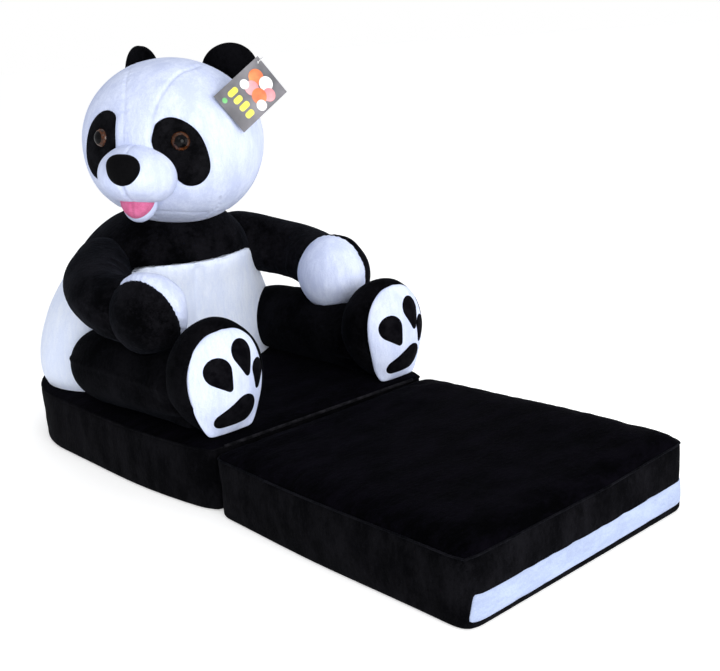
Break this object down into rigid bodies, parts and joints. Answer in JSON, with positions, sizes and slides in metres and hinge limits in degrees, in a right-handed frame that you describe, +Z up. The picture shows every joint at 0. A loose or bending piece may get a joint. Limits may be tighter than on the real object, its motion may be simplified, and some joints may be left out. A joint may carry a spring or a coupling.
{
  "type": "plush panda armchair",
  "caption": "Child's soft plush armchair shaped like a sitting panda, with stuffed arms and legs, a round head turned to one side and a padded mat that folds under the seat.",
  "frame": {"origin": "on the floor, middle of the fold line between the chair base and the mat", "axes": "+Z up, -Y the way the panda faces and the mat unfolds, +X the panda's left"},
  "size_m": [0.5018, 1.135, 0.6618],
  "materials": {
    "black_plush": "short black pile",
    "white_plush": "short white pile",
    "pink_plush": "short pink pile",
    "nose_cloth": "matt black cloth",
    "black_lining": "plain woven lining",
    "foam": "open-cell foam, hidden",
    "fibre_fill": "loose fibre filling, hidden",
    "eye_plastic": "polished brown with a black pupil",
    "washer_plastic": "plain",
    "tag_card": "printed coated card",
    "loop_plastic": "clear nylon"
  },
  "bodies": {
    "chair": {"base_bottom_panel": "black_lining", "base_side_band": "black_plush", "base_foam": "foam", "base_top_panel": "black_plush", "right_leg_cover": "black_plush", "right_leg_stuffing": "fibre_fill", "right_sole": "white_plush", "right_toe_pad_low": "black_plush", "right_toe_pad_top": "black_plush", "right_toe_pad_side": "black_plush", "right_heel_pad": "black_plush", "left_leg_cover": "black_plush", "left_leg_stuffing": "fibre_fill", "left_sole": "white_plush", "left_toe_pad_low": "black_plush", "left_toe_pad_top": "black_plush", "left_toe_pad_side": "black_plush", "left_heel_pad": "black_plush", "torso_black_cover": "black_plush", "torso_white_cover": "white_plush", "torso_stuffing": "fibre_fill"},
    "mat": {"mat_bottom_panel": "black_lining", "mat_top_panel": "black_plush", "mat_foam": "foam", "mat_end_stripe": "white_plush", "mat_side_band": "black_plush"},
    "right_arm": {"right_arm_cover": "black_plush", "right_palm_cover": "white_plush", "right_arm_stuffing": "fibre_fill"},
    "left_arm": {"left_arm_cover": "black_plush", "left_palm_cover": "white_plush", "left_arm_stuffing": "fibre_fill"},
    "head": {"muzzle_cover": "white_plush", "muzzle_stuffing": "fibre_fill", "nose_pad": "nose_cloth", "tongue": "pink_plush", "lower_lip": "white_plush", "right_eye": "eye_plastic", "right_eye_patch": "black_plush", "right_eye_washer": "washer_plastic", "left_eye": "eye_plastic", "left_eye_patch": "black_plush", "left_eye_washer": "washer_plastic", "head_cover": "white_plush", "head_stuffing": "fibre_fill", "right_ear_cover": "black_plush", "right_ear_stuffing": "fibre_fill", "left_ear_cover": "black_plush", "left_ear_stuffing": "fibre_fill", "tag_loop": "loop_plastic"},
    "tag": {"hang_tag": "tag_card"}
  },
  "joints": [
    {"name": "mat_fold", "type": "hinge", "parent": "chair", "child": "mat", "pos_m": [0, 0, 0], "axis": [1, 0, 0], "range_deg": [0, 178]},
    {"name": "right_arm_open", "type": "hinge", "parent": "chair", "child": "right_arm", "pos_m": [-0.14, 0.385, 0.305], "axis": [-0.7071, 0, -0.7071], "range_deg": [0, 50]},
    {"name": "left_arm_open", "type": "hinge", "parent": "chair", "child": "left_arm", "pos_m": [0.14, 0.385, 0.305], "axis": [-0.7071, 0, 0.7071], "range_deg": [0, 50]},
    {"name": "head_turn", "type": "hinge", "parent": "chair", "child": "head", "pos_m": [0, 0.344, 0.495], "axis": [0.1441, -0.0058, 0.9895], "range_deg": [-15, 56]},
    {"name": "tag_swing", "type": "hinge", "parent": "head", "child": "tag", "pos_m": [0.0814, 0.20341, 0.61231], "axis": [-0.1883, -0.9543, 0.2321], "range_deg": [0, 35]}
  ]
}
